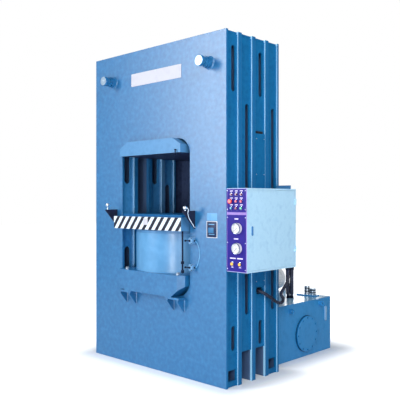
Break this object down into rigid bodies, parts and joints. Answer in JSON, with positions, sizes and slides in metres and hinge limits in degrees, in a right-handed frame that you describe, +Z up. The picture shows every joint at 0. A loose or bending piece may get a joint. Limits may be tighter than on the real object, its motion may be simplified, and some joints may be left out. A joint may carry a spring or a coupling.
{
  "type": "hydraulic press",
  "caption": "Up-stroking hydraulic frame press of window plates, with a striped moving platen, a side control cabinet and an oil tank behind.",
  "frame": {"origin": "on the floor, below the centre of the middle frame plate", "axes": "+X to the right with the control cabinet, +Y to the back towards the oil tank, +Z up"},
  "size_m": [2.008, 1.99, 3],
  "materials": {
    "press_enamel": "light blue enamel, semi gloss",
    "web_enamel": "blue enamel, semi gloss",
    "cabinet_paint": "pale blue powder coat",
    "dark_paint": "dark navy paint, matt",
    "tank_paint": "blue enamel, semi gloss",
    "stripe_board": "black and white striped paint",
    "bare_plate": "white painted plate",
    "panel_film": "purple printed panel",
    "ground_steel": "ground and oiled",
    "chrome_ram": "hard chromed and polished",
    "zinc_steel": "zinc plated",
    "black_steel": "blackened",
    "seal_rubber": "matt",
    "cable_rubber": "matt",
    "grey_plastic": "moulded",
    "red_plastic": "moulded, glossy",
    "dark_red_plastic": "moulded, glossy",
    "green_plastic": "moulded, glossy",
    "amber_plastic": "moulded, glossy",
    "gauge_white": "white stove enamel",
    "gauge_glass": "clear",
    "sight_glass": "clear moulded"
  },
  "bodies": {
    "frame": {"front_plate": "press_enamel", "front_main_plate": "web_enamel", "middle_main_plate": "web_enamel", "rear_main_plate": "web_enamel", "rear_plate": "press_enamel", "outer_webs": "web_enamel", "jamb_webs": "web_enamel", "foot_lugs": "web_enamel", "lifting_trunnions": "press_enamel", "front_signs": "bare_plate", "cable_duct": "web_enamel", "rear_guard": "dark_paint", "cylinder_base": "press_enamel", "cylinder_barrel": "press_enamel", "gland_ring": "press_enamel", "ram_seal": "seal_rubber", "cylinder_bolts": "zinc_steel", "support_brackets": "press_enamel", "upper_platen": "press_enamel", "temperature_probe": "black_steel", "guard_brackets": "dark_paint", "guard_sensors": "zinc_steel", "sensor_cables": "cable_rubber", "limit_switches": "zinc_steel", "cabinet_shell": "cabinet_paint", "hinge_pins": "zinc_steel", "control_gear": "grey_plastic", "panel_plates": "panel_film", "indicator_lamps": "dark_red_plastic", "gauges": "gauge_white", "gauge_lenses": "gauge_glass", "tank_body": "tank_paint", "tank_lid": "tank_paint", "manhole_cover": "tank_paint", "level_gauge": "sight_glass", "pump_motor": "web_enamel", "hydraulic_pump": "black_steel", "valve_block": "black_steel", "oil_pipes": "zinc_steel", "cabinet_cables": "cable_rubber"},
    "platen": {"ram": "chrome_ram", "moving_platen": "press_enamel", "lower_bolster": "ground_steel", "hazard_board": "stripe_board", "striker_rod": "black_steel"},
    "door": {"cabinet_door": "cabinet_paint"},
    "handle": {"door_handle": "black_steel"},
    "upper_lever": {"switch_lever_upper": "black_steel"},
    "lower_lever": {"switch_lever_lower": "black_steel"},
    "upper_needle": {"gauge_needle_upper": "black_steel"},
    "lower_needle": {"gauge_needle_lower": "black_steel"},
    "emergency_stop": {"e_stop_button": "red_plastic"},
    "middle_red_button": {"red_button_middle": "red_plastic"},
    "right_red_button": {"red_button_right": "red_plastic"},
    "left_green_button": {"green_button_left": "green_plastic"},
    "middle_dark_button": {"dark_button_middle": "dark_red_plastic"},
    "right_green_button": {"green_button_right": "green_plastic"},
    "left_start_button": {"start_button_left": "amber_plastic"},
    "right_start_button": {"start_button_right": "amber_plastic"},
    "cap": {"filler_cap": "black_steel"}
  },
  "joints": [
    {"name": "platen_lift", "type": "slide", "parent": "frame", "child": "platen", "axis": [0, 0, 1], "range_m": [0, 0.35]},
    {"name": "door_hinge", "type": "hinge", "parent": "frame", "child": "door", "pos_m": [1.112, 0.313, 1.325], "axis": [0, 0, 1], "range_deg": [0, 110]},
    {"name": "handle_turn", "type": "hinge", "parent": "door", "child": "handle", "pos_m": [1.105, -0.292, 1.351], "axis": [1, 0, 0], "range_deg": [0, 90]},
    {"name": "upper_lever_swing", "type": "hinge", "parent": "frame", "child": "upper_lever", "pos_m": [0.5035, -0.405, 1.218], "axis": [0, 1, 0], "range_deg": [-30, 30], "stiffness_Nm_per_rad": 0.5},
    {"name": "lower_lever_swing", "type": "hinge", "parent": "frame", "child": "lower_lever", "pos_m": [0.5035, -0.405, 0.986], "axis": [0, 1, 0], "range_deg": [-30, 30], "stiffness_Nm_per_rad": 0.5},
    {"name": "upper_needle_turn", "type": "hinge", "parent": "frame", "child": "upper_needle", "pos_m": [1.012, -0.383, 1.341], "axis": [0, 1, 0], "range_deg": [0, 270], "stiffness_Nm_per_rad": 0.05},
    {"name": "lower_needle_turn", "type": "hinge", "parent": "frame", "child": "lower_needle", "pos_m": [1.012, -0.383, 1.177], "axis": [0, 1, 0], "range_deg": [0, 270], "stiffness_Nm_per_rad": 0.05},
    {"name": "emergency_stop_press", "type": "slide", "parent": "frame", "child": "emergency_stop", "axis": [0, 1, 0], "range_m": [0, 0.004], "stiffness_N_per_m": 800},
    {"name": "middle_red_press", "type": "slide", "parent": "frame", "child": "middle_red_button", "axis": [0, 1, 0], "range_m": [0, 0.004], "stiffness_N_per_m": 800},
    {"name": "right_red_press", "type": "slide", "parent": "frame", "child": "right_red_button", "axis": [0, 1, 0], "range_m": [0, 0.004], "stiffness_N_per_m": 800},
    {"name": "left_green_press", "type": "slide", "parent": "frame", "child": "left_green_button", "axis": [0, 1, 0], "range_m": [0, 0.004], "stiffness_N_per_m": 800},
    {"name": "middle_dark_press", "type": "slide", "parent": "frame", "child": "middle_dark_button", "axis": [0, 1, 0], "range_m": [0, 0.004], "stiffness_N_per_m": 800},
    {"name": "right_green_press", "type": "slide", "parent": "frame", "child": "right_green_button", "axis": [0, 1, 0], "range_m": [0, 0.004], "stiffness_N_per_m": 800},
    {"name": "left_start_press", "type": "slide", "parent": "frame", "child": "left_start_button", "axis": [0, 1, 0], "range_m": [0, 0.004], "stiffness_N_per_m": 800},
    {"name": "right_start_press", "type": "slide", "parent": "frame", "child": "right_start_button", "axis": [0, 1, 0], "range_m": [0, 0.004], "stiffness_N_per_m": 800},
    {"name": "cap_lift", "type": "slide", "parent": "frame", "child": "cap", "axis": [0, 0, 1], "range_m": [0, 0.05]}
  ]
}
